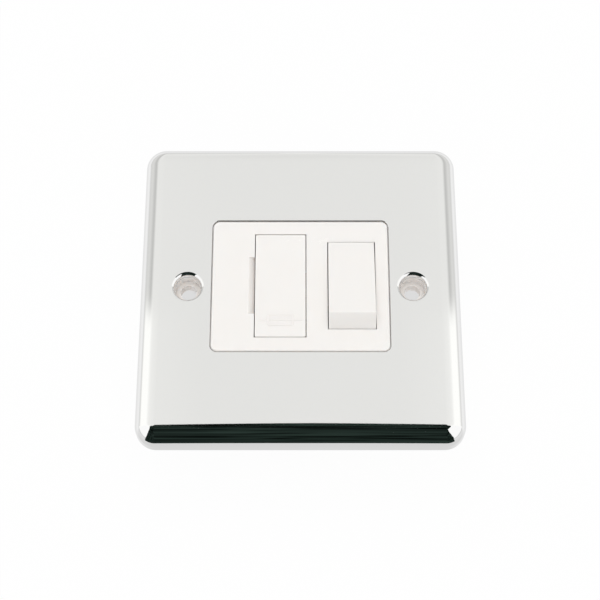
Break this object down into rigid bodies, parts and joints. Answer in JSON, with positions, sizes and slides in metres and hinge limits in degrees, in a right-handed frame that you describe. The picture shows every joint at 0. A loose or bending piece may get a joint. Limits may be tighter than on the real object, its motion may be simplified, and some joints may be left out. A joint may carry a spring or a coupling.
{
  "type": "switched fused connection unit",
  "caption": "Square wall plate with a rolled polished edge, a white insert, a rocker switch and a pull-out fuse carrier, on a moulded body with rear screw terminals.",
  "frame": {"origin": "centre of the plate in the wall plane, midway between the two fixing holes", "axes": "+Z out of the wall, +Y up the wall, +X to the right seen from the front"},
  "size_m": [0.086, 0.086, 0.0311],
  "materials": {
    "polished_plate": "polished chromium plate on pressed steel",
    "white_face": "glossy white thermoset moulding",
    "white_body": "matt white moulding",
    "zinc_screws": "zinc plated steel",
    "spring_wire": "drawn spring steel",
    "fuse_ceramic": "unglazed white ceramic tube",
    "plated_caps": "nickel plated cap",
    "bronze_strip": "phosphor bronze strip",
    "copper_arms": "copper bar",
    "brass": "plain brass",
    "plunger_plastic": "white acetal pin",
    "silver_tips": "silver alloy rivet"
  },
  "bodies": {
    "unit": {"face_plate": "polished_plate", "front_moulding": "white_face", "rear_housing": "white_body", "assembly_screws": "zinc_screws", "live_supply_terminal": "brass", "live_load_terminal": "brass", "neutral_supply_terminal": "brass", "neutral_load_terminal": "brass", "upper_earth_terminal": "brass", "lower_earth_terminal": "brass", "terminal_screws": "zinc_screws", "earth_strap": "brass", "earth_link": "brass", "upper_fuse_clip": "bronze_strip", "lower_fuse_clip": "bronze_strip", "live_fixed_contact": "silver_tips", "neutral_fixed_contact": "silver_tips"},
    "rocker": {"rocker": "white_face", "live_plunger": "plunger_plastic", "neutral_plunger": "plunger_plastic", "live_spring": "spring_wire", "neutral_spring": "spring_wire"},
    "live_arm": {"live_contact_arm": "copper_arms", "live_moving_contact": "silver_tips"},
    "neutral_arm": {"neutral_contact_arm": "copper_arms", "neutral_moving_contact": "silver_tips"},
    "carrier": {"fuse_carrier": "white_face", "fuse_barrel": "fuse_ceramic", "upper_fuse_cap": "plated_caps", "lower_fuse_cap": "plated_caps"}
  },
  "joints": [
    {"name": "rocker_tilt", "type": "hinge", "parent": "unit", "child": "rocker", "pos_m": [0.01371, 0.00055, 0.0012], "axis": [1, 0, 0], "range_deg": [0, 21]},
    {"name": "live_arm_rock", "type": "hinge", "parent": "unit", "child": "live_arm", "pos_m": [0.01051, 0.00055, -0.00934], "axis": [1, 0, 0], "range_deg": [-18.01, 0]},
    {"name": "neutral_arm_rock", "type": "hinge", "parent": "unit", "child": "neutral_arm", "pos_m": [0.0169, 0.00055, -0.00934], "axis": [1, 0, 0], "range_deg": [-18.01, 0]},
    {"name": "carrier_pull", "type": "slide", "parent": "unit", "child": "carrier", "axis": [0, 0, 1], "range_m": [0, 0.014]}
  ],
  "couplings": [
    {"joint": "live_arm_rock", "follows": "rocker_tilt", "ratio": -0.85714},
    {"joint": "neutral_arm_rock", "follows": "rocker_tilt", "ratio": -0.85714}
  ]
}
